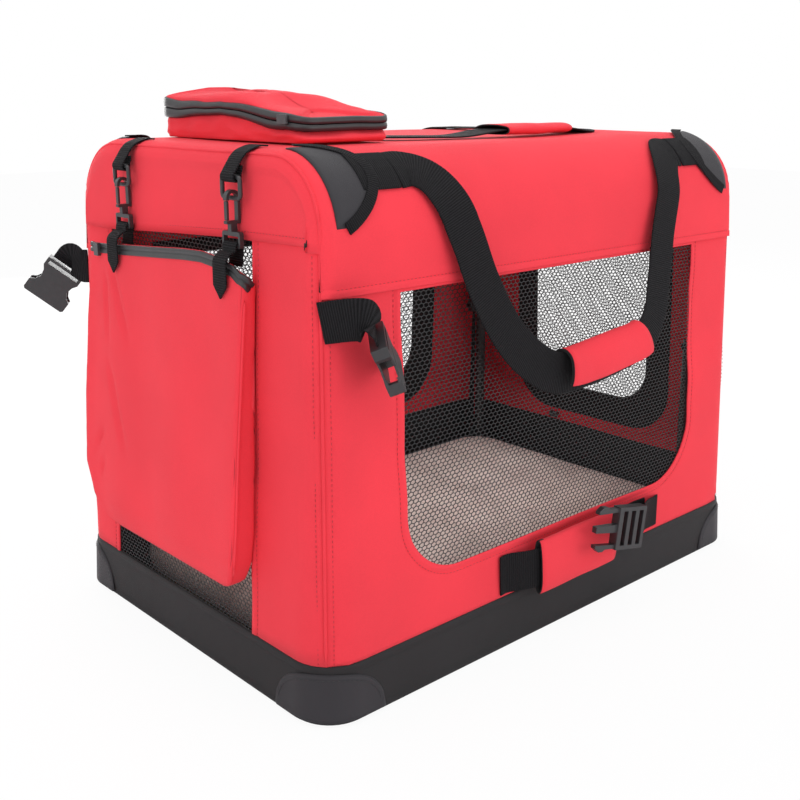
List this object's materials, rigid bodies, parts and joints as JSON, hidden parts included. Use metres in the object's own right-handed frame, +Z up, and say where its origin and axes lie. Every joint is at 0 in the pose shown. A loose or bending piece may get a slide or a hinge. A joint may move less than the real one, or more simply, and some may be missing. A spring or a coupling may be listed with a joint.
{
  "type": "pet carrier",
  "caption": "Folding soft pet carrier: leaning fabric box on a stiff tray over a knee-jointed tube frame, with net doors, carry straps, roof pouch and hanging pocket.",
  "frame": {"origin": "middle of the tray's underside", "axes": "+X along the long side towards the end without the pocket, +Y from the front to the back, +Z up"},
  "size_m": [0.6273, 0.4999, 0.5031],
  "materials": {
    "red_fabric": "coated woven polyester, matt",
    "black_fabric": "coated black cloth, matt",
    "webbing": "ribbed black webbing",
    "net": "open black net",
    "steel_tube": "powder-coated steel tube",
    "buckle_plastic": "moulded dark grey plastic",
    "plush": "short beige pile",
    "fibreboard": "plain board"
  },
  "bodies": {
    "base": {"base_tray": "black_fabric", "floor_board": "fibreboard", "mat": "plush", "base_ring": "steel_tube", "front_wall": "red_fabric", "back_wall": "red_fabric", "left_wall": "red_fabric", "right_wall": "red_fabric", "left_mesh": "net"},
    "left_lower_legs": {"left_lower_leg_front": "steel_tube", "left_lower_leg_back": "steel_tube"},
    "left_upper_legs": {"left_upper_leg_front": "steel_tube", "left_upper_leg_back": "steel_tube"},
    "right_lower_legs": {"right_lower_leg_front": "steel_tube", "right_lower_leg_back": "steel_tube"},
    "right_upper_legs": {"right_upper_leg_front": "steel_tube", "right_upper_leg_back": "steel_tube"},
    "top_frame": {"left_hoop": "steel_tube", "right_hoop": "steel_tube", "front_rail": "steel_tube", "back_rail": "steel_tube", "roof_cover": "red_fabric", "roof_corner_front_left": "webbing", "roof_corner_front_right": "webbing", "roof_corner_back_left": "webbing", "roof_corner_back_right": "webbing", "pocket_loop_front": "webbing", "pocket_loop_back": "webbing", "roof_pouch": "red_fabric"},
    "front_door": {"front_door": "net"},
    "back_door": {"back_door": "net"},
    "right_door": {"right_door": "net"},
    "front_zip_slider": {"front_zip_slider": "buckle_plastic"},
    "back_zip_slider": {"back_zip_slider": "buckle_plastic"},
    "right_zip_slider": {"right_zip_slider": "buckle_plastic"},
    "front_handle": {"front_handle_strap": "webbing", "front_handle_sleeve": "red_fabric"},
    "back_handle": {"back_handle_strap": "webbing", "back_handle_sleeve": "red_fabric"},
    "base_handle": {"base_handle_strap": "webbing", "base_handle_sleeve": "red_fabric", "male_buckle_tab": "webbing"},
    "male_buckle": {"male_buckle": "buckle_plastic"},
    "front_buckle_strap": {"front_buckle_stub": "webbing"},
    "front_buckle": {"front_female_buckle": "buckle_plastic"},
    "back_buckle_strap": {"back_buckle_stub": "webbing"},
    "back_buckle": {"back_female_buckle": "buckle_plastic"},
    "roof_pouch_lid": {"roof_pouch_lid": "red_fabric"},
    "pouch_zip_slider": {"pouch_zip_slider": "buckle_plastic"},
    "pocket_rings": {"pocket_ring_front": "buckle_plastic", "pocket_ring_back": "buckle_plastic"},
    "side_pocket": {"side_pocket": "red_fabric", "pocket_tab_front": "webbing", "pocket_tab_back": "webbing", "snap_hook_front": "buckle_plastic", "snap_hook_back": "buckle_plastic"},
    "front_hook_gate": {"hook_gate_front": "buckle_plastic"},
    "back_hook_gate": {"hook_gate_back": "buckle_plastic"},
    "pocket_zip_slider": {"pocket_zip_slider": "buckle_plastic"}
  },
  "joints": [
    {"name": "fold", "type": "hinge", "parent": "base", "child": "left_lower_legs", "pos_m": [-0.262, 0, 0.054], "axis": [0, -1, 0], "range_deg": [-85, 0], "deforming": ["front_wall", "back_wall", "left_wall", "right_wall", "left_mesh", "front_door", "back_door", "right_door", "side_pocket", "pocket_tab_front", "pocket_tab_back", "front_handle_strap", "front_handle_sleeve", "back_handle_strap", "back_handle_sleeve"]},
    {"name": "left_knee", "type": "hinge", "parent": "left_lower_legs", "child": "left_upper_legs", "pos_m": [-0.262, 0, 0.225], "axis": [0, -1, 0], "range_deg": [0, 173]},
    {"name": "left_top_pivot", "type": "hinge", "parent": "left_upper_legs", "child": "top_frame", "pos_m": [-0.262, 0, 0.396], "axis": [0, -1, 0], "range_deg": [-86.5, 0]},
    {"name": "right_base_pivot", "type": "hinge", "parent": "base", "child": "right_lower_legs", "pos_m": [0.262, 0, 0.054], "axis": [0, 1, 0], "range_deg": [-86.5, 0]},
    {"name": "right_knee", "type": "hinge", "parent": "right_lower_legs", "child": "right_upper_legs", "pos_m": [0.262, 0, 0.225], "axis": [0, 1, 0], "range_deg": [0, 173]},
    {"name": "front_door_hinge", "type": "hinge", "parent": "base", "child": "front_door", "pos_m": [0, -0.18929, 0.349], "axis": [-1, 0, 0], "range_deg": [0, 120]},
    {"name": "back_door_hinge", "type": "hinge", "parent": "base", "child": "back_door", "pos_m": [0, 0.18929, 0.349], "axis": [1, 0, 0], "range_deg": [0, 120]},
    {"name": "right_door_hinge", "type": "hinge", "parent": "base", "child": "right_door", "pos_m": [0.28429, 0, 0.349], "axis": [0, -1, 0], "range_deg": [0, 120]},
    {"name": "front_door_zip", "type": "slide", "parent": "base", "child": "front_zip_slider", "axis": [-1, 0, 0], "range_m": [0, 0.27]},
    {"name": "back_door_zip", "type": "slide", "parent": "base", "child": "back_zip_slider", "axis": [1, 0, 0], "range_m": [0, 0.215]},
    {"name": "right_door_zip", "type": "slide", "parent": "base", "child": "right_zip_slider", "axis": [0, -1, 0], "range_m": [0, 0.105]},
    {"name": "front_handle_swing", "type": "hinge", "parent": "top_frame", "child": "front_handle", "pos_m": [0, -0.16962, 0.44445], "axis": [-1, 0, 0], "range_deg": [0, 180]},
    {"name": "back_handle_swing", "type": "hinge", "parent": "top_frame", "child": "back_handle", "pos_m": [0, 0.16962, 0.44445], "axis": [-1, 0, 0], "range_deg": [0, 240]},
    {"name": "base_handle_pull", "type": "hinge", "parent": "base", "child": "base_handle", "pos_m": [0, -0.20274, 0.055], "axis": [1, 0, 0], "range_deg": [0, 50]},
    {"name": "male_buckle_swing", "type": "hinge", "parent": "base_handle", "child": "male_buckle", "pos_m": [0.0655, -0.24294, 0.0918], "axis": [0, 0, 1], "range_deg": [0, 40]},
    {"name": "front_buckle_drop", "type": "slide", "parent": "base", "child": "front_buckle_strap", "axis": [0, 0, 1], "range_m": [-0.233, 0]},
    {"name": "front_buckle_swing", "type": "hinge", "parent": "front_buckle_strap", "child": "front_buckle", "pos_m": [-0.2531, -0.2172, 0.325], "axis": [-0.5688, -0.7643, -0.3038], "range_deg": [0, 40]},
    {"name": "back_buckle_drop", "type": "slide", "parent": "base", "child": "back_buckle_strap", "axis": [0, 0, 1], "range_m": [-0.233, 0]},
    {"name": "back_buckle_swing", "type": "hinge", "parent": "back_buckle_strap", "child": "back_buckle", "pos_m": [-0.2886, 0.2203, 0.33], "axis": [-0.6651, 0.4135, 0.6218], "range_deg": [0, 36]},
    {"name": "pouch_lid_hinge", "type": "hinge", "parent": "top_frame", "child": "roof_pouch_lid", "pos_m": [-0.118, 0.026, 0.4803], "axis": [0, 1, 0], "range_deg": [0, 110]},
    {"name": "pouch_zip", "type": "slide", "parent": "top_frame", "child": "pouch_zip_slider", "axis": [0, 1, 0], "range_m": [0, 0.182]},
    {"name": "ring_swing", "type": "hinge", "parent": "top_frame", "child": "pocket_rings", "pos_m": [-0.2915, 0, 0.438], "axis": [0, 1, 0], "range_deg": [0, 40]},
    {"name": "pocket_swing", "type": "hinge", "parent": "pocket_rings", "child": "side_pocket", "pos_m": [-0.2915, 0, 0.4215], "axis": [0, 1, 0], "range_deg": [0, 60]},
    {"name": "front_gate", "type": "hinge", "parent": "side_pocket", "child": "front_hook_gate", "pos_m": [-0.2967, -0.088, 0.4043], "axis": [0, 1, 0], "range_deg": [0, 20], "stiffness_Nm_per_rad": 0.02, "springref_deg": -8.59},
    {"name": "back_gate", "type": "hinge", "parent": "side_pocket", "child": "back_hook_gate", "pos_m": [-0.2967, 0.088, 0.4043], "axis": [0, 1, 0], "range_deg": [0, 20], "stiffness_Nm_per_rad": 0.02, "springref_deg": -8.59},
    {"name": "pocket_zip", "type": "slide", "parent": "side_pocket", "child": "pocket_zip_slider", "axis": [0, -1, 0], "range_m": [0, 0.2]}
  ],
  "couplings": [
    {"joint": "left_knee", "follows": "fold", "ratio": -2},
    {"joint": "left_top_pivot", "follows": "fold", "ratio": 1},
    {"joint": "right_base_pivot", "follows": "fold", "ratio": 1},
    {"joint": "right_knee", "follows": "fold", "ratio": -2},
    {"joint": "front_buckle_drop", "follows": "fold", "m_per_rad": 0.15638},
    {"joint": "back_buckle_drop", "follows": "fold", "m_per_rad": 0.15638}
  ]
}
